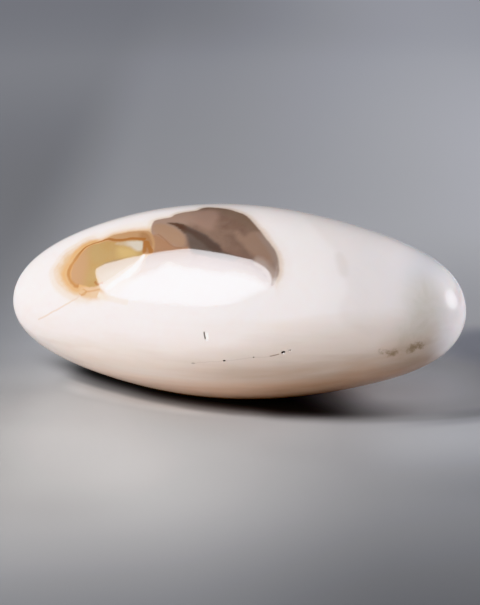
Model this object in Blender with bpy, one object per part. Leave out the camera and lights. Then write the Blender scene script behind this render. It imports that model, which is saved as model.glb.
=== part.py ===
"""An agate lingam: one long egg of white stone, ground and polished by hand.

Metres, +Z up. X runs along the stone, from its slimmer tail at -X to its
blunter nose at +X. The origin is under its middle, in the plane of the small
flat that the stone lies on.
"""

import bmesh
import bpy
import numpy as np
from mathutils import Vector

# Driving sizes
LENGTH = 0.2500  # tail to nose
HEIGHT = 0.1063  # thickest section from top to bottom, before the flat is ground
WIDTH = 0.1148  # thickest section from side to side
FOOT_DEPTH = 0.0005  # stone ground off the lowest point to make the flat

# The outline at five stations from tail to nose, given in half lengths from the middle
STATIONS = (-1.0, -0.5, 0.0, 0.5, 1.0)
FULLNESS = (1.012, 0.981, 1.000, 0.969, 1.099)  # section size against a plain ellipsoid's
CORE_LIFT = (-0.0028, -0.0002, 0.0000, -0.0008, -0.0018)  # height of the sections' centres
WIDTH_TAPER = 0.040  # part of the half width that the nose loses and the tail gains

# The surface is six square patches of cells, laid out like a cube blown up into a ball
PATCH_CELLS = 28
PLANE_TOLERANCE = 1e-6
SHORTEST_EDGE = 0.0002  # points of the cut that lie closer than this are merged

# The polished surface
AGATE_COLOUR = (0.80, 0.73, 0.70, 1.0)
AGATE_ROUGHNESS = 0.12
AGATE_IOR = 1.54


def clear_scene():
    for old in list(bpy.data.objects):
        bpy.data.objects.remove(old, do_unlink=True)


def curve_through(values):
    """Give the smooth curve that takes these values at the stations."""
    return np.polyfit(STATIONS, values, len(STATIONS) - 1)


FULLNESS_CURVE = curve_through(FULLNESS)
CORE_CURVE = curve_through(CORE_LIFT)


def stone_point(direction):
    """Draw a point of the unit ball out to the stone's surface, about the core line."""
    along, side, rise = direction
    fullness = np.polyval(FULLNESS_CURVE, along)
    width = WIDTH * (fullness - WIDTH_TAPER * along)
    height = HEIGHT * fullness
    core = np.polyval(CORE_CURVE, along)
    return Vector((along * LENGTH / 2, side * width / 2, core + rise * height / 2))


def ball_direction(corner):
    """Turn a point on the cube into a direction, with cells of nearly equal angle."""
    spread = [np.tan(np.pi / 4 * part) for part in corner]
    return Vector(spread).normalized()


def lay_out_surface(bm):
    """Make the six patches of cells and shape them into the stone."""
    bmesh.ops.create_cube(bm, size=2.0)
    bmesh.ops.subdivide_edges(bm, edges=bm.edges[:], cuts=PATCH_CELLS - 1, use_grid_fill=True)
    for vert in bm.verts:
        vert.co = stone_point(ball_direction(vert.co))
    for face in bm.faces:
        face.smooth = True


def grind_foot(bm):
    """Cut the lowest point off flat, and move the stone so that the flat is at z = 0."""
    foot_height = min(vert.co.z for vert in bm.verts) + FOOT_DEPTH
    cut = bmesh.ops.bisect_plane(
        bm,
        geom=bm.verts[:] + bm.edges[:] + bm.faces[:],
        dist=PLANE_TOLERANCE,
        plane_co=(0, 0, foot_height),
        plane_no=(0, 0, -1),
        clear_outer=True,
    )
    rim = [part for part in cut["geom_cut"] if isinstance(part, bmesh.types.BMVert)]
    bmesh.ops.remove_doubles(bm, verts=rim, dist=SHORTEST_EDGE)
    open_edges = [edge for edge in bm.edges if edge.is_boundary]
    bmesh.ops.edgeloop_fill(bm, edges=open_edges)
    for edge in open_edges:
        edge.smooth = False
    bmesh.ops.translate(bm, verts=bm.verts[:], vec=(0, 0, -foot_height))


def polished_agate():
    material = bpy.data.materials.new("polished_agate")
    material.use_nodes = True
    shader = material.node_tree.nodes["Principled BSDF"]
    shader.inputs["Base Color"].default_value = AGATE_COLOUR
    shader.inputs["Roughness"].default_value = AGATE_ROUGHNESS
    shader.inputs["Metallic"].default_value = 0.0
    shader.inputs["IOR"].default_value = AGATE_IOR
    return material


def make_stone():
    bm = bmesh.new()
    lay_out_surface(bm)
    grind_foot(bm)
    mesh = bpy.data.meshes.new("lingam_stone")
    bm.to_mesh(mesh)
    bm.free()
    mesh.materials.append(polished_agate())
    stone = bpy.data.objects.new("lingam_stone", mesh)
    bpy.context.scene.collection.objects.link(stone)
    return stone


clear_scene()
make_stone()
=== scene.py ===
import math

import bmesh
import bpy
import numpy as np
from mathutils import Matrix, Vector, noise
from mathutils.kdtree import KDTree


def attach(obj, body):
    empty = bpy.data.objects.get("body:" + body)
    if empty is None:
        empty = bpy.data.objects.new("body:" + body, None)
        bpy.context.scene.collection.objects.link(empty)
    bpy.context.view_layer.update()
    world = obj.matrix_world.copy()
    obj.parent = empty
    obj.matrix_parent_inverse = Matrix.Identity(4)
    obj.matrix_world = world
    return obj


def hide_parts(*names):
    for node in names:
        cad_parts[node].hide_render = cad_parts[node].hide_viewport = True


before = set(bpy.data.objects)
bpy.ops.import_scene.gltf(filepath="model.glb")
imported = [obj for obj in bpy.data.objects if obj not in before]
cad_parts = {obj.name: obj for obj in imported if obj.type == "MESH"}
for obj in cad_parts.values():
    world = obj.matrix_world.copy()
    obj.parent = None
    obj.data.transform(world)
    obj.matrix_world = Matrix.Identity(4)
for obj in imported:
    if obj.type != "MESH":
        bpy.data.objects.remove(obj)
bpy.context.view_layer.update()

# The form of the stone, in metres
LENGTH = 0.2500
HEIGHT = 0.1063
WIDTH = 0.1148
FOOT_DEPTH = 0.0005
STATIONS = (-1.0, -0.5, 0.0, 0.5, 1.0)
FULLNESS = (1.012, 0.981, 1.000, 0.969, 1.099)
CORE_LIFT = (-0.0028, -0.0002, 0.0000, -0.0008, -0.0018)
WIDTH_TAPER = 0.040

MM = 0.001

# The skin: the cells of its six patches, and the faint relief of the hand grinding
CELLS_ALONG = 116
CELLS_ACROSS = 58
SKIN_INSET = 0.00004  # keeps the relief inside the solid
GRIND_RELIEF = 0.00006
GRIND_WAVE = 0.026
FINE_WAVES = 2.3  # fine waves to one broad wave
FINE_SHARE = 0.2

# Markings with an edge. A place is millimetres from the middle towards the nose, and degrees
# round the girth from the top towards the viewer's side.
OUTLINES = {
    "brown_patch": (
        (-42.8, 24), (-42.7, 19.6), (-41.7, 17), (-37.4, 16), (-33.6, 15), (-31.8, 12.3),
        (-27.7, 10.3), (-23.4, 9.2), (-20.2, 8), (-18.5, 5.1), (-15.4, 3.4), (-11.4, 4), (-7.4, 5.1),
        (-2.6, 7.2), (2.2, 10.2), (6.5, 13.6), (9.6, 17.5), (13.2, 23.4), (17.4, 29.6), (20.2, 34),
        (23.4, 38.3), (26, 42.9), (27.7, 48.2), (28.6, 53.3), (28.4, 57.1), (26.8, 61), (25.3, 63.6),
        (20.4, 63.9), (15, 61.2), (9, 59.5), (-2.5, 58.8), (-11, 57.2), (-19, 56.2), (-25, 54),
        (-30, 52.3), (-33.5, 56.4), (-38, 58), (-42.5, 59.5), (-47, 62), (-50, 61.8), (-46.5, 57),
        (-44.5, 51.5), (-41.5, 47), (-39.5, 43.7), (-39.7, 39.2), (-40.9, 34.3), (-42.3, 28.8),
    ),
    "gold_patch": (
        (-42, 29.8), (-45.8, 26.7), (-52.7, 25.4), (-58.3, 25.2), (-62.6, 25.5), (-65.9, 26.6),
        (-68.8, 28.2), (-73, 29.5), (-77.2, 30.6), (-80.5, 32.3), (-82.2, 36.2), (-83.8, 40.8),
        (-85.1, 44.7), (-86.7, 48.4), (-87.2, 53.1), (-86.3, 57.9), (-84.6, 62), (-82.3, 65.3),
        (-80.2, 66.9), (-77.7, 66.2), (-75.4, 66.6), (-72.2, 67.5), (-68.7, 67.2), (-65.4, 64.8),
        (-61.5, 62), (-58.5, 60), (-55, 57), (-52.5, 55), (-49, 52.5), (-46, 49), (-44, 46.5),
        (-41, 47), (-38.5, 45), (-38.5, 38),
    ),
    "gold_heart": (
        (-45.9, 35.5), (-50.7, 34.3), (-55, 34), (-59.3, 34), (-63.9, 32.3), (-67.6, 30.7),
        (-70.5, 31.5), (-74.5, 31.4), (-77.3, 32.9), (-79.5, 35.8), (-80.8, 39.8), (-82.1, 43.6),
        (-83.5, 46.6), (-84.2, 50.5), (-84.5, 54.4), (-83.9, 58.9), (-82.5, 62.2), (-80.6, 63.9),
        (-77.8, 64.8), (-75, 65.7), (-72, 66.8), (-68.5, 66), (-65, 63.8), (-61.5, 61.3),
        (-58.5, 59), (-55, 56.3), (-52.5, 54.3), (-49, 51.3), (-46, 48), (-44.5, 46), (-44.7, 43),
        (-45.2, 39),
    ),
    "clear_spot": (
        (-60.9, 34.9), (-57.1, 34.4), (-52.8, 34.5), (-48.5, 35.3), (-45.8, 36.4), (-44.9, 40.5),
        (-45.8, 43.2), (-47.8, 42.8), (-50.7, 40.7), (-54.4, 38.3), (-58.5, 36.6),
    ),
    "yellow_spot": (
        (-58.5, 39.9), (-55, 40), (-51.5, 41.2), (-48.6, 43.3), (-48.3, 46.1), (-50.6, 48),
        (-54.9, 47.5), (-57.9, 44.2),
    ),
    "rust_neck": (
        (-45, 36.2), (-42.3, 36.9), (-41.1, 40), (-39.5, 42.4), (-38.9, 45.2), (-40.7, 45.6),
        (-41.6, 43), (-42.9, 41.3), (-43.1, 44.6), (-44.7, 44.8), (-44.6, 40.9),
    ),
    "quartz_band": (
        (-63.5, 68.2), (-61.5, 65.4), (-58.3, 62.4), (-55.3, 59.6), (-52, 56.6), (-49.2, 53.4),
        (-46.5, 50.2), (-44.2, 46.6), (-43, 47.4), (-44.4, 51.4), (-45.8, 54.8), (-47.8, 58),
        (-50.4, 60.8), (-53.8, 62.8), (-56.3, 64.6), (-58.6, 67), (-61, 69),
    ),
    "smoke_streak": (
        (-34.3, 21.8), (-31, 22), (-27.9, 22.8), (-23.1, 25.3), (-17.6, 29.2), (-12.1, 33.3),
        (-7.2, 37.4), (-3.6, 40.9), (-1.7, 44.2), (3.7, 46.7), (7.5, 48.8), (4.1, 50.9),
        (-1.2, 50.3), (-7.6, 49.3), (-11.5, 48), (-17, 46.5), (-18.5, 43.9), (-19.8, 41.1),
        (-21, 38.2), (-22.6, 34.3), (-25.7, 30.1), (-28.5, 27), (-31.5, 24.2),
    ),
    "smoke_core": (
        (-29.1, 23.9), (-24.4, 26), (-19.7, 29), (-14.8, 32.7), (-10.1, 36.3), (-5.6, 40.2),
        (-2.6, 43.4), (-2.9, 45.2), (-6.2, 44.8), (-9.8, 42.6), (-13, 39.8), (-16.4, 36.9),
        (-20.1, 33.5), (-23.7, 30.5), (-27.5, 27),
    ),
    "tan_wedge": (
        (-41.5, 23.1), (-38.1, 21.8), (-33.7, 24.6), (-29.3, 28), (-25.5, 31.8), (-22.7, 35.9),
        (-22.1, 40.3), (-25.1, 42.4), (-28.7, 40.1), (-33.2, 36), (-37, 32.3), (-40.3, 29.2),
    ),
    "rust_corner": (
        (-41, 32.6), (-36.9, 33.1), (-33, 36.8), (-28.6, 41.5), (-24, 42.5), (-20.5, 43),
        (-21, 48), (-27.5, 50), (-34, 51), (-38.5, 49), (-40, 41),
    ),
    "patch_foot": (
        (-42.3, 46.5), (-36.9, 45.5), (-30.5, 44.5), (-23, 44.1), (-18.6, 45.5), (-17.9, 52.4),
        (-22.9, 56.1), (-33.4, 58.4), (-41.3, 55.7),
    ),
    "blush": (
        (-26.5, 12.5), (-23, 11), (-17.4, 9), (-10.5, 9.5), (-7.3, 20.2), (-8.3, 28.8), (-12.6, 29.7),
        (-18.7, 25.1), (-24.9, 20.7),
    ),
    "pale_shoulder": (
        (4, 30.4), (8.6, 33.9), (12.4, 30.2), (17.2, 30.3), (21.6, 37.4), (25.5, 46), (23.7, 50.1),
        (18.5, 48.7), (14, 45.3), (9.3, 40.3), (5.7, 35.7),
    ),
    "patch_tip": (
        (16.8, 47.6), (20.6, 49.1), (23.3, 51.4), (25.6, 54.2), (27.8, 55.9), (27.5, 59.5),
        (25.8, 62.5), (24.3, 59.6), (21.8, 56.2), (18.8, 53.2), (15.9, 51),
    ),
    "umber_rim": (
        (-14, 4), (-9, 5.5), (-3.5, 8.6), (2.5, 12.3), (8.2, 17.6), (12.8, 24.1), (15.7, 30.8),
        (11.7, 28.8), (7.3, 24), (0, 17.6), (-7.5, 11.9), (-13.5, 7.5),
    ),
    "dull_gold": (
        (-68.9, 53.6), (-65.3, 50), (-59.3, 48.3), (-52.1, 47.6), (-45.5, 47.2), (-42, 48.5),
        (-46.2, 53.8), (-52, 58.4), (-58.5, 62.8), (-64, 64.8), (-69, 59.5),
    ),
    "peach_stain": (
        (-75.5, 67.4), (-74, 68.2), (-70.4, 67.4), (-66.9, 67.2), (-64.9, 69.5), (-65.2, 72.8),
        (-68.4, 74.6), (-72.8, 74.1), (-76, 72.5), (-76.8, 69.5),
    ),
    "peach_halo": (
        (-97.1, 47.9), (-95.6, 57.4), (-92.3, 65.4), (-87.7, 70.9), (-82.7, 74.9), (-77.3, 76.3),
        (-71.5, 74.7), (-78.1, 61.3), (-76.8, 45.5), (-69.7, 34.3), (-77.4, 21.3), (-82.7, 24.2),
        (-88, 27.3), (-92.1, 31.8), (-94.7, 39.4),
    ),
    "nose_cloud": (
        (97.4, 51.5), (101.8, 44.8), (107.2, 51.5), (110.1, 67.5), (111, 84), (108, 106),
        (104.5, 121), (99, 124), (91.7, 121.8), (87.1, 112.7), (88.7, 102.4), (92.6, 92.2),
        (94.5, 79.2), (95.2, 65.1),
    ),
    "moss_haze": (
        (82.5, 105.6), (89.7, 104.5), (96.8, 103.7), (102.9, 104.1), (106.1, 113.7), (102, 122.8),
        (93.8, 123.2), (85.6, 118.7),
    ),
    "nose_veil": (
        (36.9, 5.8), (46.4, 22.5), (55.8, 36.9), (61.3, 51), (62.9, 63.3), (59.8, 75.5),
        (63.6, 86.7), (78.9, 94.8), (94.1, 87.9), (103.3, 64.1), (102.5, 30.7), (94.4, 8),
        (80.8, 3), (61.8, 0.9), (46.7, 1.5),
    ),
    "veil_smudge": (
        (57, 39), (58.7, 36.9), (60.7, 40.4), (62.4, 46.3), (62.4, 52.2), (60.4, 51.9), (58.5, 45.7),
    ),
}
# Markings drawn as a line
STROKES = {
    "rust_line": (
        (-44, 35), (-49.1, 33.4), (-53.1, 32.6), (-57.4, 32.8), (-61.8, 31.6), (-66.1, 29.3),
        (-70, 29.8), (-75, 30.6), (-78.6, 32.4), (-80.9, 36.5), (-82.8, 41.5), (-84.6, 45.6),
        (-85.7, 50), (-86, 54.5), (-85.3, 59), (-83.6, 62.6), (-81.2, 65.4), (-78.6, 66),
    ),
    "stain_loop": ((-76.8, 67.5), (-74.4, 69.2), (-74.8, 71.6), (-77, 72.4), (-78.6, 70.6)),
    "rust_hook": ((-70, 62.4), (-67.8, 64.8), (-64.6, 63.6)),
    "tan_wisp": ((-67.5, 71.6), (-63.8, 73.6), (-59.2, 74.8), (-54.6, 75.9), (-50, 76.6)),
    "patch_vein": ((-38.5, 31), (-36.3, 33.2), (-33.3, 36.7), (-30.4, 40), (-27.4, 42.3), (-23, 43.1)),
    "stain_vein": ((-77.5, 72.2), (-76.1, 71.5), (-74.4, 69.9), (-71.7, 69.5), (-69.1, 69), (-66, 68.2)),
    "healed_crack": (
        (-77.2, 72.2), (-78.7, 73.6), (-80, 75.1), (-81.8, 76.3), (-84, 78.2), (-86.8, 80.5),
        (-89.1, 82.6), (-91.9, 85.3), (-94.3, 87.1), (-98, 91.5), (-102, 96), (-104, 98.5),
    ),
    "pit_line": (
        (-17.1, 112.4), (-15.5, 112.9), (-12.1, 111.7), (-9.7, 111.5), (-6.4, 110.7), (-3.7, 110.6),
        (-1.1, 110.4), (1.1, 109.8), (6, 109), (12, 107.8), (16.5, 107), (22.2, 106.9),
        (24.9, 106.4), (27.3, 105.7), (29.1, 105.2), (31.9, 104), (35.3, 102.7),
    ),
    "chip": ((-8.9, 91.4), (-8.8, 92.6), (-8.6, 94.4), (-8.2, 96.3), (-7.9, 97.2)),
}
# place, half length and half width in mm, depth in mm, share of dirt in it
PITS = (
    ((-15.6, 112.8), 1.1, 0.6, 0.12, 0.28),
    ((1.1, 109.8), 0.75, 0.65, 0.5, 0.9),
    ((16.5, 107), 0.5, 0.45, 0.3, 0.6),
    ((31.9, 104), 1.15, 0.8, 0.8, 1.0),
    ((35.3, 102.7), 0.8, 0.4, 0.3, 0.7),
)
# place, radius in mm, strength
MOSS_TUFTS = (
    ((81.2, 108.4), 1.9, 0.4),
    ((82.4, 110.8), 1.6, 0.35),
    ((84.6, 109.8), 1.6, 0.45),
    ((86.7, 112.4), 2.3, 0.75),
    ((88.9, 112.2), 2.1, 0.65),
    ((97.2, 113.6), 2.2, 0.8),
    ((97.9, 111.4), 2.2, 0.85),
    ((98.2, 107.8), 1.5, 0.5),
    ((100.2, 108.6), 2.0, 0.65),
    ((102, 111.6), 2.3, 0.75),
)


def curve_through(values):
    return np.polyfit(STATIONS, values, len(STATIONS) - 1)


FULLNESS_CURVE = curve_through(FULLNESS)
CORE_CURVE = curve_through(CORE_LIFT)


def belly_depth():
    """How far the bare form reaches below the core line's datum."""
    along = np.linspace(-1, 1, 2001)
    half = HEIGHT / 2 * np.sqrt(1 - along**2) * np.polyval(FULLNESS_CURVE, along)
    return (half - np.polyval(CORE_CURVE, along)).max()


CORE_HEIGHT = belly_depth() - FOOT_DEPTH


def stone_points(directions):
    """Places on the bare form for unit directions from its middle, one row each."""
    along, side, rise = np.asarray(directions, float).reshape(-1, 3).T
    fullness = np.polyval(FULLNESS_CURVE, along)
    x = along * LENGTH / 2
    y = side * WIDTH / 2 * (fullness - WIDTH_TAPER * along)
    z = CORE_HEIGHT + np.polyval(CORE_CURVE, along) + rise * HEIGHT / 2 * fullness
    return np.column_stack((x, y, z))


def directions_of(places):
    """Unit directions for places given in millimetres along and degrees round the girth."""
    millimetres, degrees = np.asarray(places, float).reshape(-1, 2).T
    along = millimetres * MM / (LENGTH / 2)
    ring = np.sqrt(1 - along**2)
    girth = np.radians(degrees)
    return np.column_stack((along, -ring * np.sin(girth), ring * np.cos(girth)))


def places_of(directions):
    """The other way round: millimetres along and degrees round the girth."""
    along, side, rise = np.asarray(directions, float).reshape(-1, 3).T
    return np.column_stack((along * LENGTH / 2 / MM, np.degrees(np.arctan2(-side, rise))))


SAMPLES_A_SPAN = 24


def drawn_line(points, closed):
    """A smooth line through given places, as closely spaced places."""
    points = np.asarray(points, float)
    if closed:
        ring = np.vstack((points[-1:], points, points[:2]))
    else:
        ring = np.vstack((2 * points[0] - points[1], points, 2 * points[-1] - points[-2]))
    t = np.linspace(0, 1, SAMPLES_A_SPAN, endpoint=False)[:, None]
    spans = []
    for a, b, c, d in zip(ring, ring[1:], ring[2:], ring[3:]):
        bend = (2 * b, c - a, 2 * a - 5 * b + 4 * c - d, 3 * b - a - 3 * c + d)
        spans.append((bend[0] + bend[1] * t + bend[2] * t**2 + bend[3] * t**3) / 2)
    if not closed:
        spans.append(points[-1:])
    return np.vstack(spans)


def tree_of(points):
    tree = KDTree(len(points))
    for index, point in enumerate(points):
        tree.insert(point, index)
    tree.balance()
    return tree


def millimetres_to(tree, point):
    """The distance from a point to the nearest place of a tree."""
    return tree.find(point)[2] / MM


class Outline:
    """A marking with an edge: tells how far inside it a place on the stone lies."""

    def __init__(self, points):
        self.line = drawn_line(points, closed=True)
        self.tree = tree_of(stone_points(directions_of(self.line)))

    def holds(self, places):
        inside = np.zeros(len(places), bool)
        for (x0, y0), (x1, y1) in zip(self.line, np.roll(self.line, -1, axis=0)):
            spans = (y0 > places[:, 1]) != (y1 > places[:, 1])
            if y0 != y1:
                cross = x0 + (places[:, 1] - y0) * (x1 - x0) / (y1 - y0)
                inside ^= spans & (places[:, 0] < cross)
        return inside

    def away(self, point):
        return millimetres_to(self.tree, point)

    def depth_inside(self, points, places):
        """Millimetres inside the edge, negative outside."""
        far = np.array([self.away(point) for point in points])
        return np.where(self.holds(places), far, -far)


class Stroke:
    """A marking drawn as a line: tells the offset to its side and the way run along it."""

    def __init__(self, points):
        line = drawn_line(points, closed=False)
        self.points = stone_points(directions_of(line))
        self.tree = tree_of(self.points)
        steps = np.diff(self.points, axis=0)
        self.run = np.concatenate(([0], np.cumsum(np.linalg.norm(steps, axis=1)))) / MM
        self.heading = np.vstack((steps, steps[-1:]))
        self.heading /= np.linalg.norm(self.heading, axis=1)[:, None]
        self.length = self.run[-1]

    def away(self, point):
        return millimetres_to(self.tree, point)

    def offset_and_run(self, points, normals):
        found = [self.tree.find(point)[1] for point in points]
        across = np.cross(normals, self.heading[found])
        offset = np.einsum("ij,ij->i", points - self.points[found], across) / MM
        return offset, self.run[found]


outlines = {name: Outline(points) for name, points in OUTLINES.items()}
strokes = {name: Stroke(points) for name, points in STROKES.items()}
moss_places = stone_points(directions_of([tuft[0] for tuft in MOSS_TUFTS]))
pit_places = stone_points(directions_of([pit[0] for pit in PITS]))
pit_tree = tree_of(pit_places)


def lay_out_ball():
    """A ball of six patches of cells, as a cube blown up, with nearly equal angles."""
    bm = bmesh.new()
    counts = (CELLS_ALONG, CELLS_ACROSS, CELLS_ACROSS)
    corners = {}

    def corner(at):
        if at not in corners:
            spread = [math.tan(math.pi / 4 * (2 * k / n - 1)) for k, n in zip(at, counts)]
            corners[at] = bm.verts.new(Vector(spread).normalized())
        return corners[at]

    for axis in range(3):
        u, v = (axis + 1) % 3, (axis + 2) % 3
        for end in (0, counts[axis]):
            for i in range(counts[u]):
                for j in range(counts[v]):
                    cell = []
                    for di, dj in ((0, 0), (1, 0), (1, 1), (0, 1)):
                        at = [0, 0, 0]
                        at[axis], at[u], at[v] = end, i + di, j + dj
                        cell.append(corner(tuple(at)))
                    bm.faces.new(cell if end else cell[::-1])
    return bm


# The part of the stone that holds the fine markings
MARKED_ALONG = (-110, 105)
MARKED_GIRTH = (0, 122)
PATCH_LINES = (
    "brown_patch", "gold_patch", "gold_heart", "quartz_band", "smoke_streak", "clear_spot",
    "rust_neck",
)
FINE_LINES = (
    "rust_line", "healed_crack", "stain_vein", "stain_loop", "rust_hook", "patch_vein",
    "pit_line",
)
trees = {
    "patches": [outlines[name].tree for name in PATCH_LINES],
    "fine lines": [strokes[name].tree for name in FINE_LINES],
    "chip": [strokes["chip"].tree],
    "pits": [pit_tree],
}
# Round after round, the cells that lie this near in mm to one of these are halved
HALVING_ROUNDS = (
    {"patches": 6.0, "fine lines": 6.0},
    {"patches": 1.5, "fine lines": 1.0},
    {"chip": 3.2, "pits": 2.4},
    {"chip": 2.2, "pits": 1.6},
)


def needs_halving(point, place, reaches):
    if not MARKED_ALONG[0] < place[0] < MARKED_ALONG[1]:
        return False
    if not MARKED_GIRTH[0] < place[1] < MARKED_GIRTH[1]:
        return False
    return any(
        millimetres_to(tree, point) < reach
        for kind, reach in reaches.items()
        for tree in trees[kind]
    )


def halve_cells(bm, reaches):
    """Halve the cells near some markings, and bring the new corners out to the ball."""
    middles = np.array([face.calc_center_median().normalized() for face in bm.faces])
    points = stone_points(middles)
    places = places_of(middles)
    edges = set()
    for face, point, place in zip(bm.faces, points, places):
        if needs_halving(point, place, reaches):
            edges.update(face.edges)
    bmesh.ops.subdivide_edges(bm, edges=list(edges), cuts=1, use_grid_fill=True)
    for vert in bm.verts:
        vert.co.normalize()


def outward_normals(points, directions):
    """Outward normals of the bare form, from its gradient."""
    along, side, rise = directions.T
    fullness = np.polyval(FULLNESS_CURVE, along)
    slope = np.polyval(np.polyder(FULLNESS_CURVE), along)
    gy = side / (WIDTH / 2 * fullness)
    gz = rise / (HEIGHT / 2 * fullness)
    gx = (along - (side**2 + rise**2) * slope / fullness) / (LENGTH / 2)
    normals = np.column_stack((gx, gy, gz))
    return normals / np.linalg.norm(normals, axis=1)[:, None]


# The nick and the pits, in mm
CHIP_WALL = 0.35  # from the lip to the bottom on the steep side
CHIP_SLOPE = 1.7  # from the bottom out to the far lip
CHIP_REACH = CHIP_SLOPE + 0.6
CHIP_DEPTH = 0.75
DIRT_SPREAD = 2.5  # how fully the dirt covers a pit


def chip_depth(points, normals):
    """The nick: a steep wall on one side, a slope on the other, shallow at both ends."""
    offset, run = strokes["chip"].offset_and_run(points, normals)
    near = np.array([strokes["chip"].away(point) for point in points])
    wall = np.clip(1 + offset / CHIP_WALL, 0, 1)
    slope = np.clip(1 - offset / CHIP_SLOPE, 0, 1)
    profile = np.where(offset < 0, wall, slope)
    along = np.clip(run / strokes["chip"].length, 0, 1)
    lens = np.sqrt(np.clip(4 * along * (1 - along), 0, 1))
    depth = CHIP_DEPTH * profile * lens
    return np.where(near < CHIP_REACH, depth, 0)


def pit_depths(points, normals):
    """How deep each point lies in a pit, and the share of dirt there."""
    total = np.zeros(len(points))
    dirt = np.zeros(len(points))
    line = strokes["pit_line"]
    for place, (_, half_length, half_width, depth, share) in zip(pit_places, PITS):
        near = np.linalg.norm(points - place, axis=1) / MM < 3 * half_length
        rows = np.flatnonzero(near)
        heading = line.heading[line.tree.find(place)[1]]
        across = np.cross(normals[rows], heading)
        gap = points[rows] - place
        u = gap @ heading / MM / half_length
        v = np.einsum("ij,ij->i", gap, across) / MM / half_width
        bowl = np.clip(1 - u**2 - v**2, 0, 1)
        total[rows] += depth * np.sqrt(bowl)
        dirt[rows] = np.maximum(dirt[rows], share * np.clip(DIRT_SPREAD * bowl, 0, 1))
    return total, dirt


def moss_tone(points):
    tone = np.zeros(len(points))
    for place, (_, radius, strength) in zip(moss_places, MOSS_TUFTS):
        away = np.linalg.norm(points - place, axis=1) / MM
        tone = np.maximum(tone, strength * np.exp(-((away / radius) ** 2)))
    return tone


def grinding_relief(point):
    """How far the hand grinding went in, about 0 to 1."""
    where = Vector(point) / GRIND_WAVE
    broad, fine = noise.noise(where), noise.noise(where * FINE_WAVES)
    return 0.5 + 0.5 * broad + FINE_SHARE * fine


def write_marks(mesh, directions, points, normals, dirt):
    """Keep on the mesh how far inside each marking its points lie, for the finish to read."""
    places = places_of(directions)

    def keep(name, values):
        marks = mesh.attributes.new(name, "FLOAT", "POINT")
        marks.data.foreach_set("value", np.asarray(values, np.float32))

    for name, outline in outlines.items():
        keep(name, outline.depth_inside(points, places))
    for name, stroke in strokes.items():
        offset, run = stroke.offset_and_run(points, normals)
        away = np.array([stroke.away(point) for point in points])
        keep(name, np.where(offset < 0, -away, away))
        keep(name + "_run", run)
    keep("pit_dirt", dirt)
    keep("moss", moss_tone(points))


def place_in_scene(thing):
    bpy.context.scene.collection.objects.link(thing)
    return thing


def piece_of(bm, name):
    """The piece that a bmesh has become, in the scene."""
    mesh = bpy.data.meshes.new(name)
    bm.to_mesh(mesh)
    bm.free()
    return place_in_scene(bpy.data.objects.new(name, mesh))


def polished_stone():
    bm = lay_out_ball()
    for reaches in HALVING_ROUNDS:
        halve_cells(bm, reaches)
    bm.verts.ensure_lookup_table()
    directions = np.array([vert.co for vert in bm.verts])
    points = stone_points(directions)
    normals = outward_normals(points, directions)
    relief = np.array([grinding_relief(point) for point in points])
    chip = chip_depth(points, normals)
    pits, dirt = pit_depths(points, normals)
    sunk = SKIN_INSET + GRIND_RELIEF * relief + (chip + pits) * MM
    shaped = points - normals * sunk[:, None]
    shaped[:, 2] = np.maximum(shaped[:, 2], 0)
    for vert, place in zip(bm.verts, shaped):
        vert.co = place
    stone = piece_of(bm, "polished_lingam")
    stone.data.shade_smooth()
    write_marks(stone.data, directions, points, normals, dirt)
    return stone


def paint(red, green, blue):
    """A colour given as it looks on a screen, 0 to 255."""
    parts = [part / 255 for part in (red, green, blue)]
    linear = [p / 12.92 if p <= 0.04045 else ((p + 0.055) / 1.055) ** 2.4 for p in parts]
    return (*linear, 1.0)


LINE_END = 0.7  # mm over which a drawn line fades out


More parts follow.
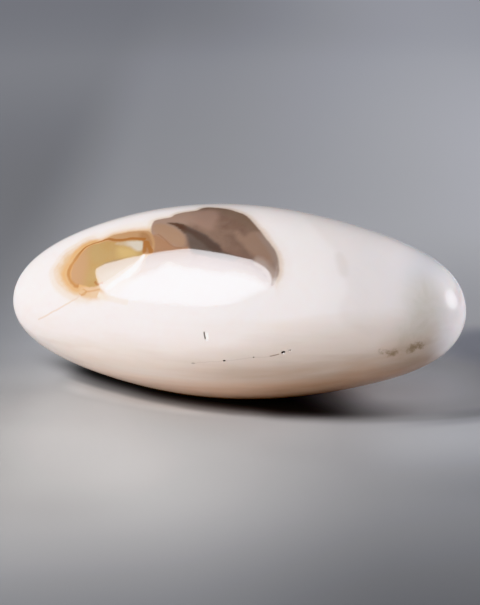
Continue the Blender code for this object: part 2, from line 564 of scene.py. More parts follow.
class Finish:
    """A material, and the few kinds of node that its recipe is written with."""

    def __init__(self, name):
        self.material = bpy.data.materials.new(name)
        self.material.use_nodes = True
        self.tree = self.material.node_tree
        self.shader = self.tree.nodes["Principled BSDF"]

    def node(self, kind, inputs=None, **settings):
        made = self.tree.nodes.new(kind)
        for name, value in settings.items():
            setattr(made, name, value)
        for name, value in (inputs or {}).items():
            self.feed(made.inputs[name], value)
        return made

    def give(self, name, value):
        """Set one of the finish's own values, such as its colour or roughness."""
        self.feed(self.shader.inputs[name], value)

    def feed(self, socket, value):
        if isinstance(value, bpy.types.NodeSocket):
            self.tree.links.new(value, socket)
        else:
            socket.default_value = value

    def mark(self, name):
        return self.node("ShaderNodeAttribute", attribute_name=name).outputs["Fac"]

    def edge(self, name, fray):
        """How far inside a marking, with its edge frayed by a noise."""
        return self.plus(self.mark(name), fray)

    def place(self):
        return self.node("ShaderNodeTexCoord").outputs["Object"]

    def stretched(self, factors, turn=(0, 0, 0)):
        inputs = {"Vector": self.place(), "Scale": factors, "Rotation": turn}
        return self.node("ShaderNodeMapping", inputs).outputs["Vector"]

    def sums(self, operation, *values):
        made = self.node("ShaderNodeMath", operation=operation)
        for socket, value in zip(made.inputs, values):
            self.feed(socket, value)
        return made.outputs[0]

    def times(self, first, *rest):
        for value in rest:
            first = self.sums("MULTIPLY", first, value)
        return first

    def plus(self, first, *rest):
        for value in rest:
            first = self.sums("ADD", first, value)
        return first

    def centred(self, noise_value):
        return self.plus(noise_value, -0.5)

    def distance_from(self, point):
        inputs = {0: self.place(), 1: point}
        made = self.node("ShaderNodeVectorMath", inputs, operation="DISTANCE")
        return made.outputs["Value"]

    def cloud(self, scale, detail=3.0, rough=0.5, where=None, twist=0.0):
        """Soft noise about 0.5."""
        inputs = {"Vector": where or self.place(), "Scale": scale, "Detail": detail}
        inputs |= {"Roughness": rough, "Distortion": twist}
        return self.node("ShaderNodeTexNoise", inputs).outputs["Fac"]

    def ease(self, value, start, end):
        """Rises smoothly from 0 at start to 1 at end. start may be the larger one."""
        inputs = {"Value": value, "From Min": min(start, end), "From Max": max(start, end)}
        inputs |= {"To Min": float(start > end), "To Max": float(start < end)}
        made = self.node("ShaderNodeMapRange", inputs, interpolation_type="SMOOTHSTEP")
        return made.outputs["Result"]

    def over(self, amount, under, top):
        inputs = {0: amount, 6: under, 7: top}
        return self.node("ShaderNodeMix", inputs, data_type="RGBA").outputs[2]

    def shade(self, colour, tint):
        """The colour seen through a tint, which is given against the plain white."""
        inputs = {0: 1.0, 6: colour, 7: [t / w for t, w in zip(tint, WHITE)]}
        made = self.node("ShaderNodeMix", inputs, data_type="RGBA", blend_type="MULTIPLY")
        return made.outputs[2]

    def stain(self, under, depth, start, end, tone, strength=1.0):
        """Lay a tone over the colour where the depth passes from start to end."""
        return self.over(self.times(self.ease(depth, start, end), strength), under, tone)

    def hairline(self, under, name, fray, width, tone, strength):
        """A thin drawn line. Its width, in mm, may be a value that changes on the way."""
        away = self.sums("ABSOLUTE", self.edge(name, self.times(fray, 0.3)))
        amount = self.ease(self.sums("DIVIDE", away, width), 1.0, 0.25)
        run, length = self.mark(name + "_run"), strokes[name].length
        starts, stops = self.ease(run, 0.0, LINE_END), self.ease(run, length, length - LINE_END)
        return self.over(self.times(amount, starts, stops, strength), under, tone)


# The stone's colours: its own, and some that paint light or shade on the nose end, the underside and the
# nick
WHITE = paint(234, 227, 226)
COOL_WHITE = paint(228, 222, 221)
# The underside darkens towards the floor: partly the stone's own tan, partly painted shade. On the nose
# side the lowest stops turn lighter again, as painted light from the paper.
LEFT_UNDERSIDE_TAN_AND_SHADE = (
    (0.006, paint(201, 172, 151)),
    (0.012, paint(198, 172, 154)),
    (0.020, paint(219, 198, 183)),
    (0.028, paint(221, 208, 199)),
    (0.036, paint(222, 212, 207)),
    (0.044, paint(228, 219, 217)),
    (0.060, WHITE),
)
RIGHT_UNDERSIDE_TAN_SHADE_AND_LIGHT = (
    (0.006, paint(243, 203, 179)),
    (0.012, paint(227, 189, 165)),
    (0.016, paint(214, 180, 157)),
    (0.020, paint(204, 171, 148)),
    (0.028, paint(201, 178, 161)),
    (0.036, paint(213, 197, 186)),
    (0.044, paint(223, 210, 202)),
    (0.060, WHITE),
)
STREAK_TINT = paint(214, 203, 198)
CREAM = paint(226, 212, 198)
PINK_CREAM = paint(204, 186, 171)
PEACH = paint(190, 152, 108)
HALO_TAN = paint(183, 156, 125)
HALO_PEACH = paint(188, 149, 103)
UMBER = paint(119, 98, 88)
LIGHT_UMBER = paint(133, 111, 99)
SHOULDER = paint(146, 122, 108)
HIGH_UMBER = paint(153, 130, 117)
BLUSH_TONE = paint(149, 124, 112)
RIM_UMBER = paint(126, 107, 95)
RIM_GREY = paint(148, 131, 122)
SMOKE = paint(99, 88, 82)
DARK_SMOKE = paint(90, 76, 70)
WARM_SMOKE = paint(90, 68, 57)
FOOT_UMBER = paint(129, 110, 99)
TAN = paint(153, 125, 105)
RUST = paint(151, 116, 91)
TIP_GREY = paint(164, 147, 138)
KHAKI = paint(162, 133, 92)
OLIVE = paint(161, 136, 97)
ROSE_TAN = paint(166, 133, 104)
YELLOW = paint(178, 152, 106)
CLEAR = paint(181, 171, 158)
DULL_TAN = paint(146, 126, 104)
RUST_EDGE = paint(148, 101, 63)
RIM_TAN = paint(166, 132, 100)
NECK_RUST = paint(150, 114, 84)
QUARTZ = paint(240, 236, 233)
STAIN = paint(191, 160, 126)
STAIN_RUST = paint(170, 128, 88)
VEIN_RUST = paint(132, 92, 68)
CRACK_TONE = paint(200, 178, 163)
NOSE_SHADE = paint(211, 205, 198)
# Painted shade on top of the nose end
NOSE_TOP_SHADE = paint(220, 217, 219)
# Painted light on the nose end, lower down and at its tip
NOSE_PAINTED_LIGHT = paint(241, 237, 238)
NOSE_TIP_PAINTED_LIGHT = paint(230, 226, 228)
# Painted cool light over the upper nose side
COOL_LIGHT_TINT = paint(230, 226, 229)
VEIL_SHADE = paint(225, 217, 215)
MOSS_BROWN = paint(232, 205, 194)
SMUDGE = paint(212, 202, 196)
MOSS = paint(141, 123, 96)
PIT_BLACK = paint(40, 30, 24)
PIT_LINE_TONE = paint(132, 112, 96)
# The nick: painted shade with some dirt in its slit, and fresh stone with a painted highlight on its
# face
CHIP_SHADE_AND_DIRT = paint(92, 80, 72)
CHIP_FACE_AND_HIGHLIGHT = paint(250, 247, 244)


def ramp(f, value, stops):
    """A run of colours along a value."""
    top = stops[-1][0]
    made = f.node("ShaderNodeValToRGB", {"Fac": f.sums("DIVIDE", value, top)})
    band = made.color_ramp
    band.elements[0].position = stops[0][0] / top
    band.elements[0].color = stops[0][1]
    band.elements[1].position = 1.0
    band.elements[1].color = stops[-1][1]
    for place, tone in stops[1:-1]:
        added = band.elements.new(place / top)
        added.color = tone
    return made.outputs["Color"]


def white_body(f, height, along):
    """The white ground: soft clouds, broad level bands low down, and an underside partly tan and partly
    painted shade. The nose end carries painted light, the top of the tail end painted shade.
    """
    flow = f.stretched((9, 42, 64), turn=(0, 0.05, 0))
    drift = f.centred(f.cloud(1.0, 3, 0.5, where=flow, twist=0.5))
    level = f.plus(height, f.times(drift, 0.024))
    left = ramp(f, level, LEFT_UNDERSIDE_TAN_AND_SHADE)
    right = ramp(f, level, RIGHT_UNDERSIDE_TAN_SHADE_AND_LIGHT)
    # Painted light where the lamp on the right falls: the nose end whiter low down, less bright and
    # cooler at its upper tip
    nose = f.times(f.ease(along, 0.104, 0.117), f.ease(height, 0.018, 0.036))
    right = f.over(nose, right, NOSE_PAINTED_LIGHT)
    tip = f.times(f.ease(along, 0.1165, 0.1215), f.ease(height, 0.047, 0.057))
    right = f.over(tip, right, NOSE_TIP_PAINTED_LIGHT)
    colour = f.over(f.ease(along, -0.055, 0.045), left, right)
    clouds = f.ease(f.cloud(26, 4, 0.55, twist=0.7), 0.4, 0.66)
    colour = f.over(f.times(clouds, 0.4), colour, f.shade(colour, COOL_WHITE))
    # Painted shade: the top of the tail end is greyer
    tail = f.times(f.ease(along, -0.078, -0.105), f.ease(height, 0.056, 0.070))
    colour = f.over(tail, colour, f.shade(colour, COOL_WHITE))
    bands = f.cloud(1.0, 3, 0.5, where=f.stretched((12, 66, 105), turn=(0, 0.04, 0)))
    bands = f.times(f.ease(bands, 0.45, 0.68), f.ease(height, 0.06, 0.04), 0.4)
    return f.over(bands, colour, f.shade(colour, STREAK_TINT))


def veils(f, colour, height, along, wander):
    """Veils on the nose side: a faint one with a soft edge and the olive cloud; painted cool light
    higher up, and painted shade on top of the nose end.
    """
    edge = f.edge("nose_veil", f.times(wander, 0.4))
    amount = f.times(f.ease(edge, -2.0, 3.5), f.ease(along, 0.095, 0.068), 0.5)
    colour = f.over(amount, colour, f.shade(colour, VEIL_SHADE))
    smudge = f.edge("veil_smudge", f.times(wander, 0.3))
    colour = f.stain(colour, smudge, -2.8, 1.0, SMUDGE, 0.4)
    # Painted cool light over the upper part of the nose side
    cool = f.times(f.ease(along, 0.03, 0.1), f.ease(height, 0.055, 0.08), 0.7)
    colour = f.over(cool, colour, f.shade(colour, COOL_LIGHT_TINT))
    # Painted shade: the top of the nose end is darker
    top = f.times(f.ease(along, 0.086, 0.104), f.ease(height, 0.068, 0.080))
    colour = f.over(top, colour, f.shade(colour, NOSE_TOP_SHADE))
    mottled = f.plus(f.times(f.ease(f.cloud(75, 4, 0.6, twist=0.8), 0.36, 0.64), 0.26), 0.68)
    cloud = f.ease(f.edge("nose_cloud", f.times(wander, 1.7)), -11, 9)
    colour = f.over(f.times(cloud, mottled), colour, f.shade(colour, NOSE_SHADE))
    haze = f.ease(f.edge("moss_haze", wander), -5, 5)
    return f.over(f.times(haze, 0.38), colour, f.shade(colour, MOSS_BROWN))


def halos(f, colour, above, wander, sway, rough_edge):
    """The stain that spreads from the patches into the white round them."""
    brown, gold = f.mark("brown_patch"), f.mark("gold_patch")
    colour = f.stain(colour, f.plus(brown, wander), -9, -1, PINK_CREAM, f.times(above, 0.2))
    beside = f.plus(brown, rough_edge)
    colour = f.stain(colour, beside, -3.8, -0.2, PINK_CREAM, f.times(above, 0.8))
    colour = f.stain(colour, f.plus(gold, wander), -12, -3, CREAM, 0.5)
    halo = f.edge("peach_halo", rough_edge)
    rings = f.plus(f.times(f.ease(halo, -2.6, 0.0), 0.36), f.times(f.ease(halo, 0.8, 2.8), 0.35))
    rings = f.plus(rings, f.times(f.ease(halo, 3.0, 7.5), 0.35))
    cloudy = f.plus(f.times(f.cloud(170, 3, 0.6, twist=0.6), 0.9), 0.45)
    colour = f.over(f.sums("MINIMUM", f.times(rings, cloudy), 0.95), colour, HALO_TAN)
    near = f.times(f.ease(f.plus(gold, rough_edge), -4.8, -0.6), f.ease(halo, -2, 2), 0.95)
    colour = f.over(near, colour, HALO_PEACH)
    colour = f.stain(colour, f.plus(gold, sway), -2.2, -0.3, HALO_TAN, 0.4)
    fringe = f.times(f.ease(f.plus(gold, sway), -4.8, -0.4), above, 0.5)
    colour = f.over(fringe, colour, HALO_PEACH)
    return f.stain(colour, f.edge("peach_stain", sway), -2.5, 1.0, STAIN, 0.85)


def brown_patch(f, along, height, tailward, wander, sway, rough_edge):
    """The tones of the brown patch, and the grey-brown streak through it."""
    tone = f.over(f.ease(f.cloud(60, 4, 0.6, twist=0.3), 0.36, 0.66), UMBER, LIGHT_UMBER)
    tone = f.stain(tone, f.edge("umber_rim", wander), -2.5, 2.0, RIM_UMBER, 0.8)
    tone = f.stain(tone, f.edge("pale_shoulder", wander), -2.5, 1.5, SHOULDER, 0.9)
    tone = f.stain(tone, f.edge("blush", wander), -3.0, 2.5, BLUSH_TONE, 0.9)
    nose_side = f.times(f.ease(along, -0.004, 0.010), f.ease(height, 0.1000, 0.0945), 0.85)
    rim = f.times(f.ease(f.edge("brown_patch", sway), 5.0, 1.0), nose_side)
    tone = f.over(rim, tone, RIM_GREY)
    tone = f.stain(tone, f.edge("patch_tip", sway), -2.2, 1.8, TIP_GREY, 0.9)
    tone = f.stain(tone, tailward, 17, 26, HIGH_UMBER, 0.9)
    tone = f.stain(tone, f.edge("tan_wedge", rough_edge), -1.6, 1.4, TAN, 0.95)
    tone = f.stain(tone, f.edge("rust_corner", sway), -1.6, 1.4, RUST, 0.9)
    tone = f.hairline(tone, "patch_vein", rough_edge, 0.7, VEIN_RUST, 0.3)
    tone = f.stain(tone, f.edge("patch_foot", sway), -1.0, 1.2, FOOT_UMBER, 0.85)
    streak = f.edge("smoke_streak", rough_edge)
    tone = f.stain(tone, streak, -1.2, 1.5, SMOKE, 0.92)
    tone = f.stain(tone, f.edge("smoke_core", rough_edge), -1.2, 1.3, DARK_SMOKE, 0.9)
    warm = f.times(f.ease(streak, -0.2, 1.0), f.ease(tailward, 20, 26), 0.72)
    return f.over(warm, tone, WARM_SMOKE)


def gold_rim(f, tailward, fray):
    """The tan rim of the gold patch, with the rust fork at its neck."""
    rim = f.stain(RIM_TAN, tailward, 62, 76, PEACH, 0.85)
    inner = f.ease(f.edge("gold_patch", fray), 1.0, 2.6)
    rim = f.stain(rim, tailward, 49, 45, NECK_RUST, f.times(inner, 0.9))
    return f.stain(rim, f.edge("rust_neck", fray), -0.5, 0.4, RUST_EDGE, 0.8)


def gold_patch(f, tailward, fray, sway, rough_edge):
    """The gold patch: khaki, olive and rose inside, a clear spot, a rim and a rust line."""
    heart = f.mark("gold_heart")
    tone = f.over(f.ease(f.cloud(80, 4, 0.55, twist=0.8), 0.38, 0.64), KHAKI, OLIVE)
    tone = f.stain(tone, tailward, 72.5, 79, ROSE_TAN, 0.9)
    tone = f.stain(tone, f.edge("yellow_spot", sway), -3.4, 2.2, YELLOW, 0.9)
    clear = f.plus(f.times(f.ease(tailward, 58, 51), 0.6), 0.4)
    tone = f.stain(tone, f.edge("clear_spot", rough_edge), -1.3, 1.2, CLEAR, clear)
    rim = gold_rim(f, tailward, fray)
    tone = f.stain(rim, f.plus(heart, f.times(rough_edge, 0.6)), -0.3, 0.8, tone)
    tone = f.stain(tone, f.edge("dull_gold", sway), -0.8, 1.6, DULL_TAN, 0.9)
    run = f.mark("rust_line_run")
    width = f.plus(f.times(f.ease(run, 26, 20), 0.5), f.times(f.ease(run, 38, 46), 1.25), 1.0)
    strength = f.plus(f.times(f.ease(run, 38, 46), -0.3), 0.95)
    return f.hairline(tone, "rust_line", rough_edge, width, RUST_EDGE, strength)


def dirt_line(f, under, fray):
    """The dirt line between the pits: strongest just before the largest one."""
    run = f.mark("pit_line_run")
    strong = f.times(f.ease(run, 42.3, 43.3), f.ease(run, 48.2, 47.2))
    strength = f.plus(f.times(strong, 0.65), 0.12)
    return f.hairline(under, "pit_line", fray, 0.5, PIT_LINE_TONE, strength)


def fine_marks(f, colour, fray, sway, rough_edge):
    """Veins, the healed crack, the moss, and the dirt in the pits and between them."""
    colour = f.hairline(colour, "rust_hook", rough_edge, 1.1, RUST_EDGE, 0.7)
    band = f.edge("quartz_band", f.times(rough_edge, 0.7))
    colour = f.stain(colour, band, -0.5, 0.8, QUARTZ, 0.95)
    faint = f.plus(f.times(f.ease(f.mark("tan_wisp_run"), 9, 3), 0.5), 0.5)
    colour = f.hairline(colour, "tan_wisp", sway, 2.4, CREAM, faint)
    colour = f.hairline(colour, "stain_vein", rough_edge, 0.9, STAIN_RUST, 0.55)
    colour = f.hairline(colour, "stain_loop", rough_edge, 0.7, STAIN_RUST, 0.5)
    colour = f.hairline(colour, "healed_crack", fray, 0.7, CRACK_TONE, 0.8)
    colour = dirt_line(f, colour, fray)
    tufts = f.edge("moss", f.times(f.centred(f.cloud(480, 4, 0.7)), 1.5))
    grown = f.ease(f.mark("moss"), 0.02, 0.25)
    colour = f.stain(colour, tufts, 0.05, 0.75, MOSS, f.times(grown, 0.75))
    return f.over(f.mark("pit_dirt"), colour, PIT_BLACK)


def nick(f, colour):
    """The nick's dark slit, painted shade with some dirt, and the fresh white face beside it, with a
    painted highlight where it faces the light.
    """
    side, run = f.mark("chip"), f.mark("chip_run")
    # The face: fresh white stone and a painted highlight
    face_part = f.times(f.ease(side, 0.2, 0.6), f.ease(side, 1.9, 1.4), f.ease(run, 0.6, 2.0))
    face_part = f.times(face_part, f.ease(run, 5.0, 4.2))
    colour = f.over(f.times(face_part, 0.9), colour, CHIP_FACE_AND_HIGHLIGHT)
    # The slit: painted shade in the nick, with some dirt
    slit = f.times(f.ease(side, -0.62, -0.25), f.ease(side, 0.4, 0.05), f.ease(run, 0.1, 0.9))
    slit = f.times(slit, f.ease(run, 4.8, 4.1))
    return f.over(f.times(slit, 0.85), colour, CHIP_SHADE_AND_DIRT)


POLISH_ROUGHNESS = 0.05
AGATE_IOR = 1.54
DEPTH_GLOW = 0.25  # how much light goes into the stone and comes back
DEPTH_REACH = 0.003
DEPTH_TINT = (1.0, 0.6, 0.45)


def agate():
    """The finish of the whole stone: white ground, veils, patches and fine marks, polished."""
    f = Finish("polished_agate")
    where = f.node("ShaderNodeSeparateXYZ", {0: f.place()})
    along, height = where.outputs["X"], where.outputs["Z"]
    fray = f.centred(f.cloud(430, 4, 0.62))
    sway = f.times(f.centred(f.cloud(130, 3, 0.55)), 2.2)
    wander = f.times(f.centred(f.cloud(48, 3, 0.5)), 6.0)
    rough_edge = f.plus(fray, sway)
    tailward = f.plus(f.times(along, -1000), wander)

    colour = white_body(f, height, along)
    colour = veils(f, colour, height, along, wander)
    above = f.sums("MAXIMUM", f.ease(height, 0.080, 0.087), f.ease(along, 0.0262, 0.0285))
    colour = halos(f, colour, above, wander, sway, rough_edge)
    patch = brown_patch(f, along, height, tailward, wander, sway, rough_edge)
    edge = f.edge("brown_patch", f.times(rough_edge, 0.5))
    crisp = f.times(f.ease(edge, -0.7, 0.9), above)
    soft = f.times(f.ease(f.plus(edge, sway), -2.2, 2.6), f.sums("SUBTRACT", 1.0, above))
    colour = f.over(f.plus(crisp, soft), colour, patch)
    patch = gold_patch(f, tailward, fray, sway, rough_edge)
    edge = f.edge("gold_patch", f.times(rough_edge, 0.8))
    colour = f.stain(colour, edge, -0.7, 1.1, patch)
    colour = fine_marks(f, colour, fray, sway, rough_edge)
    f.give("Base Color", nick(f, colour))

    f.give("Roughness", POLISH_ROUGHNESS)
    f.give("IOR", AGATE_IOR)
    f.give("Subsurface Weight", DEPTH_GLOW)
    f.give("Subsurface Radius", DEPTH_TINT)
    f.give("Subsurface Scale", DEPTH_REACH)
    return f.material


# The view: degrees round to the nose side and above the floor, metres, and the lens
AIM = Vector((0.0018, 0.0, 0.0520))
VIEW_AZIMUTH = 8.0
VIEW_ELEVATION = 15.0
VIEW_DISTANCE = 1.0
FOCAL_PIXELS = 1825.5
FRAME_PIXELS = 605
SENSOR_MM = 36.0


def toward(azimuth, elevation):
    """The direction of a thing seen from the stone, its azimuth counted from the viewer."""
    a, e = math.radians(VIEW_AZIMUTH + azimuth), math.radians(elevation)
    return Vector((math.sin(a) * math.cos(e), -math.cos(a) * math.cos(e), math.sin(e)))


def turn_to_face(thing, back):
    thing.rotation_mode = "QUATERNION"
    thing.rotation_quaternion = back.to_track_quat("Z", "Y")


def set_camera():
    lens = bpy.data.cameras.new("camera")
    lens.sensor_width = SENSOR_MM
    lens.lens = FOCAL_PIXELS / FRAME_PIXELS * SENSOR_MM
    camera = place_in_scene(bpy.data.objects.new("camera", lens))
    back = toward(0, VIEW_ELEVATION)
    camera.location = AIM + back * VIEW_DISTANCE
    turn_to_face(camera, back)
    bpy.context.scene.camera = camera


PLAIN = (1.0, 1.0, 1.0)
RIM_TINT = (1.02, 0.98, 0.98)
# name, azimuth from the viewer and elevation in degrees, distance and diameter in metres, watts
LAMPS = (
    ("big_softbox", -45, 45, 1.0, 0.60, 3.2, PLAIN),
    ("side_lamp", -65, 49, 1.2, 0.25, 5.6, PLAIN),
    ("low_window", -45, 10, 1.2, 0.40, 10.6, PLAIN),
    ("side_window", -90, 20, 1.2, 0.20, 4.5, PLAIN),
    ("back_window", -120, 20, 1.2, 0.22, 3.6, PLAIN),
    ("front_card", 15, 15, 1.3, 0.60, 3.7, PLAIN),
    ("back_lamp", 145, 38, 1.2, 0.60, 4.0, PLAIN),
    ("rim_lamp", 106, 8, 1.0, 0.30, 8.0, RIM_TINT),
)


def hang_lamp(name, azimuth, elevation, distance, diameter, watts, tint):
    light = bpy.data.lights.new(name, "AREA")
    light.shape = "DISK"
    light.size = diameter
    light.energy = watts
    light.color = tint
    lamp = place_in_scene(bpy.data.objects.new(name, light))
    back = toward(azimuth, elevation)
    lamp.location = AIM + back * distance
    turn_to_face(lamp, back)
    lamp.visible_glossy = False


# The lamps' fronts in the polish, drawn in metres to the right and up from their middles
PANEL_DATUM = Vector((0, 0, 0.05))
FABRIC_TINT = (0.97, 0.98, 1.03, 1)
SOFTBOX_CORNERS = (
    (-0.60, -0.03), (-0.61, 0.05), (-0.49, 0.34), (-0.42, 0.47), (-0.28, 0.50), (0.02, 0.565),
    (0.15, 0.51), (0.26, 0.435), (0.37, 0.33), (0.48, 0.19), (0.57, 0.05), (0.58, -0.25),
    (0.47, -0.40), (0.27, -0.56), (-0.10, -0.56), (-0.20, -0.50), (-0.27, -0.45),
    (-0.36, -0.36), (-0.46, -0.21),
)
SOFTBOX_PLACE = toward(-26.6, 43.5) * 0.9
SOFTBOX_FACING = toward(-54.3, 38.2)
SOFTBOX_BULB = (0.05, -0.10, 0.0)
SOFTBOX_REACH = 0.68
SOFTBOX_GLOW = (28.0, 9.5)  # at the bulb and at its reach
RIM_PLACE = toward(105, 10)
RIM_GLOW = 6.5
RIM_SIDES = 24
RIM_MIDDLE = (-0.12, 0.03)
RIM_HALVES = (0.36, 0.29)
RIM_CORNERS = tuple(
    (
        RIM_MIDDLE[0] + RIM_HALVES[0] * math.cos(math.tau * k / RIM_SIDES),
        RIM_MIDDLE[1] + RIM_HALVES[1] * math.sin(math.tau * k / RIM_SIDES),
    )
    for k in range(RIM_SIDES)
)


def parts_of(f, vector):
    """The first two numbers of a vector."""
    parts = f.node("ShaderNodeSeparateXYZ", {0: vector})
    return parts.outputs["X"], parts.outputs["Y"]


def glowing_fabric(name):
    f = Finish(name)
    f.give("Base Color", (0, 0, 0, 1))
    f.give("Specular IOR Level", 0.0)
    f.give("Emission Color", FABRIC_TINT)
    return f


def softbox_fabric():
    """Its glow falls evenly from the bulb behind the fabric, dims at the left end, and dies at
    the lower and right rims."""
    f = glowing_fabric("softbox_fabric")
    inputs = {"Value": f.distance_from(SOFTBOX_BULB), "From Max": SOFTBOX_REACH}
    inputs |= {"To Min": SOFTBOX_GLOW[0], "To Max": SOFTBOX_GLOW[1]}
    away = f.node("ShaderNodeMapRange", inputs)
    u, v = parts_of(f, f.place())
    glow = f.times(away.outputs["Result"], f.ease(u, 0.56, 0.40), f.ease(v, -0.56, -0.43))
    dim_end = f.plus(f.times(f.ease(u, -0.40, -0.56), -0.2), 1.0)
    f.give("Emission Strength", f.times(glow, dim_end))
    return f.material


def reach_in_ellipse(f, middle, halves):
    """0 in the middle of an ellipse, 1 on its edge."""
    inputs = {"Vector": f.place(), "Location": (*middle, 0), "Scale": (*halves, 1)}
    inside = f.node("ShaderNodeMapping", inputs, vector_type="TEXTURE").outputs["Vector"]
    return f.node("ShaderNodeVectorMath", {0: inside}, operation="LENGTH").outputs["Value"]


def rim_fabric():
    """A small soft glow, gone at the rim."""
    f = glowing_fabric("rim_fabric")
    reach = reach_in_ellipse(f, RIM_MIDDLE, RIM_HALVES)
    f.give("Emission Strength", f.times(f.ease(reach, 1.0, 0.1), RIM_GLOW))
    return f.material


def hang_fabric(name, corners, place, facing, finish):
    """The front of a lamp, only as the polish mirrors it. The lamps give the light."""
    right = Vector((0, 0, 1)).cross(facing).normalized()
    up = facing.cross(right)
    bm = bmesh.new()
    bm.faces.new([bm.verts.new((u, v, 0)) for u, v in corners])
    panel = piece_of(bm, name)
    panel.data.materials.append(finish)
    turn = Matrix((right, up, facing)).transposed().to_4x4()
    panel.matrix_world = Matrix.Translation(PANEL_DATUM + place) @ turn
    for seen_by in ("camera", "diffuse", "transmission", "shadow"):
        setattr(panel, "visible_" + seen_by, False)


# The paper on the floor, with painted light and painted shade. Lengths are in metres.
NEAR_PAPER = (0.42, 0.407, 0.402, 1.0)
FAR_PAPER = (0.30, 0.305, 0.325, 1.0)
BRIGHT_PAPER = (0.84, 0.815, 0.805, 1.0)
BRIGHT_SPOT = (-0.071, -0.118, 0.0)
POOL = (-0.07, -0.11, 0.0)
POOL_EDGE = (0.026, 0.235)
FAR_GLOW = (0.98, 1.0, 1.11, 1.0)
DARK = (0.0, 0.0, 0.0, 1.0)
DARK_BLUE = (0.0, 0.01, 0.05, 1.0)
DEEP_SHADE = (0.03, 0.03, 0.03, 1.0)
NOSE_SHADE_PLACE = (0.162, 0.1145)
NOSE_SHADE_HALVES = (0.077, 0.0545)
SHADE_START = -0.0328
SHADE_SLOPE = -0.254
SHADE_BEND = 2.76
SHADE_STEP = -0.003
FLOOR_REACH = 6.0


def behind_shade_edge(f, x, y):
    """How far, in metres, a spot lies behind the curve where the stone's shade begins."""
    step = f.times(f.ease(x, 0.01, 0.03), SHADE_STEP)
    edge = f.plus(f.times(x, SHADE_SLOPE), f.times(x, x, SHADE_BEND), step)
    return f.plus(f.sums("SUBTRACT", y, edge), -SHADE_START)


def deep_shade(f, x, y, behind):
    """The shade right under the stone, where hardly any light comes."""
    under = f.times(f.ease(behind, -0.009, 0.0165), f.ease(y, 0.080, 0.036))
    slant = f.plus(x, f.times(behind, 0.8))
    return f.times(under, f.ease(slant, 0.116, 0.054), f.ease(x, -0.138, -0.0815))


def bright_skirt(f, x, behind):
    """The band just outside the shade, on the tail side, that catches light off the stone."""
    outer = f.plus(behind, f.times(x, -0.15))
    band = f.times(f.ease(behind, -0.002, -0.010), f.ease(outer, -0.016, 0.0))
    return f.times(band, f.ease(x, 0.015, -0.040), f.ease(x, -0.104, -0.085))


def shade_lip(f, x, behind):
    """The near lip of the shade past the nose."""
    lip = f.times(f.ease(behind, -0.0173, -0.0046), f.ease(behind, 0.0177, 0.0020))
    return f.times(lip, f.ease(x, 0.083, 0.130), f.ease(x, 0.200, 0.150))


def floor_glow(f, x, y, rightward, ahead, behind):
    """Painted light, as a glow of the paper itself where the room would throw light on it: far off, at
    the far right, under the nose and in front of it.
    """
    far = f.times(f.ease(f.distance_from((0, 0, 0)), 0.35, 1.5), 0.2)
    right = f.times(f.ease(rightward, -0.12, 0.32), f.ease(ahead, 0.1, 0.45), 0.12)
    under = f.times(f.ease(behind, 0.008, 0.042), f.ease(y, 0.095, 0.050), 0.066)
    under = f.times(under, f.ease(x, 0.055, 0.083), f.ease(x, 0.150, 0.110))
    before = f.times(f.ease(behind, 0.001, -0.006), f.ease(ahead, -0.16, -0.07), 0.057)
    before = f.times(before, f.ease(rightward, 0.05, 0.09))
    return f.plus(far, right, under, before)


def lit_paper(f, rightward, ahead):
    """Pale paper with painted light: a pool of it in front of the tail and a bright spot, and the paper
    painted dimmer far off, far left and up close.
    """
    paper = f.over(f.ease(f.distance_from(POOL), *POOL_EDGE), NEAR_PAPER, FAR_PAPER)
    paper = f.over(f.times(f.ease(rightward, -0.093, -0.18), 0.38), paper, DARK)
    beside = f.times(f.ease(ahead, 0.10, 0.05), f.ease(ahead, -0.07, 0.02), 0.08)
    paper = f.over(f.times(f.ease(rightward, -0.10, -0.12), beside), paper, DARK)
    near_left = f.times(f.ease(ahead, -0.06, -0.13), f.ease(ahead, -0.247, -0.08), 0.34)
    paper = f.over(f.times(f.ease(rightward, -0.038, -0.097), near_left), paper, DARK)
    paper = f.over(f.times(f.ease(ahead, -0.14, -0.31), 0.41), paper, DARK)
    near_right = f.times(f.ease(rightward, -0.04, 0.073), f.ease(ahead, -0.058, -0.157), 0.26)
    paper = f.over(near_right, paper, DARK)
    spot = f.times(f.ease(f.distance_from(BRIGHT_SPOT), 0.075, 0.0), 0.24)
    return f.over(spot, paper, BRIGHT_PAPER)


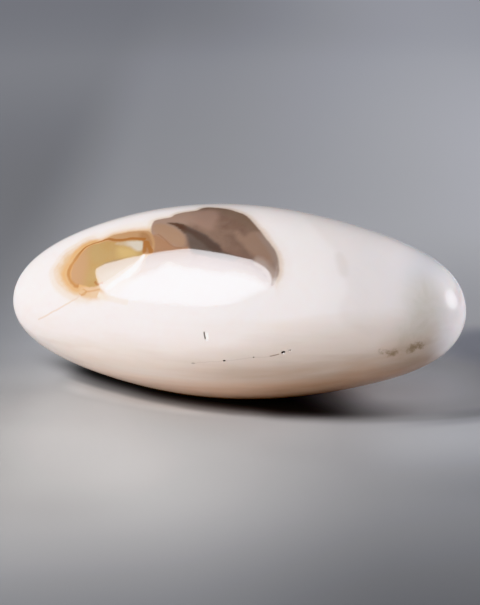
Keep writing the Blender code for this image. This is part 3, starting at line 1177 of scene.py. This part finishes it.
def floor_paper():
    """The paper with the painted shades and the painted light that the stone gives it."""
    f = Finish("floor_paper")
    x, y = parts_of(f, f.place())
    rightward, ahead = parts_of(f, f.stretched((1, 1, 1), (0, 0, -math.radians(VIEW_AZIMUTH))))
    behind = behind_shade_edge(f, x, y)
    paper = lit_paper(f, rightward, ahead)
    # A painted bluish shadow on the paper right of and behind the nose
    reach = reach_in_ellipse(f, NOSE_SHADE_PLACE, NOSE_SHADE_HALVES)
    paper = f.over(f.times(f.ease(reach, 1.05, 0.5), 0.39), paper, DARK_BLUE)
    paper = f.over(f.times(shade_lip(f, x, behind), 0.315), paper, DARK)
    paper = f.over(f.times(bright_skirt(f, x, behind), 0.55), paper, BRIGHT_PAPER)
    paper = f.over(deep_shade(f, x, y, behind), paper, DEEP_SHADE)
    f.give("Base Color", paper)
    f.give("Specular IOR Level", 0.0)
    f.give("Roughness", 0.8)
    f.give("Emission Color", FAR_GLOW)
    f.give("Emission Strength", floor_glow(f, x, y, rightward, ahead, behind))
    return f.material


def lay_floor():
    bm = bmesh.new()
    bmesh.ops.create_grid(bm, x_segments=1, y_segments=1, size=FLOOR_REACH)
    floor = piece_of(bm, "floor")
    floor.data.materials.append(floor_paper())


ROOM_TINT = (0.9, 0.95, 1.1, 1)
ROOM_LIGHT = 0.04
WALL_TONE = 0.25


def set_world():
    """A dim room. A view along the floor shows its far wall as pale as the paper."""
    world = bpy.data.worlds.new("studio")
    bpy.context.scene.world = world
    world.use_nodes = True
    nodes, links = world.node_tree.nodes, world.node_tree.links
    room = nodes["Background"]
    room.inputs["Color"].default_value = ROOM_TINT
    ray = nodes.new("ShaderNodeLightPath")
    strength = nodes.new("ShaderNodeMapRange")
    links.new(ray.outputs["Is Camera Ray"], strength.inputs["Value"])
    strength.inputs["To Min"].default_value = ROOM_LIGHT
    strength.inputs["To Max"].default_value = WALL_TONE
    links.new(strength.outputs["Result"], room.inputs["Strength"])


stone = polished_stone()
stone.data.materials.append(agate())
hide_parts("lingam_stone")
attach(stone, "root")

set_camera()
lay_floor()
set_world()
for lamp in LAMPS:
    hang_lamp(*lamp)
hang_fabric("softbox_front", SOFTBOX_CORNERS, SOFTBOX_PLACE, SOFTBOX_FACING, softbox_fabric())
hang_fabric("rim_front", RIM_CORNERS, RIM_PLACE, RIM_PLACE, rim_fabric())
bpy.context.scene.view_settings.view_transform = "Khronos PBR Neutral"
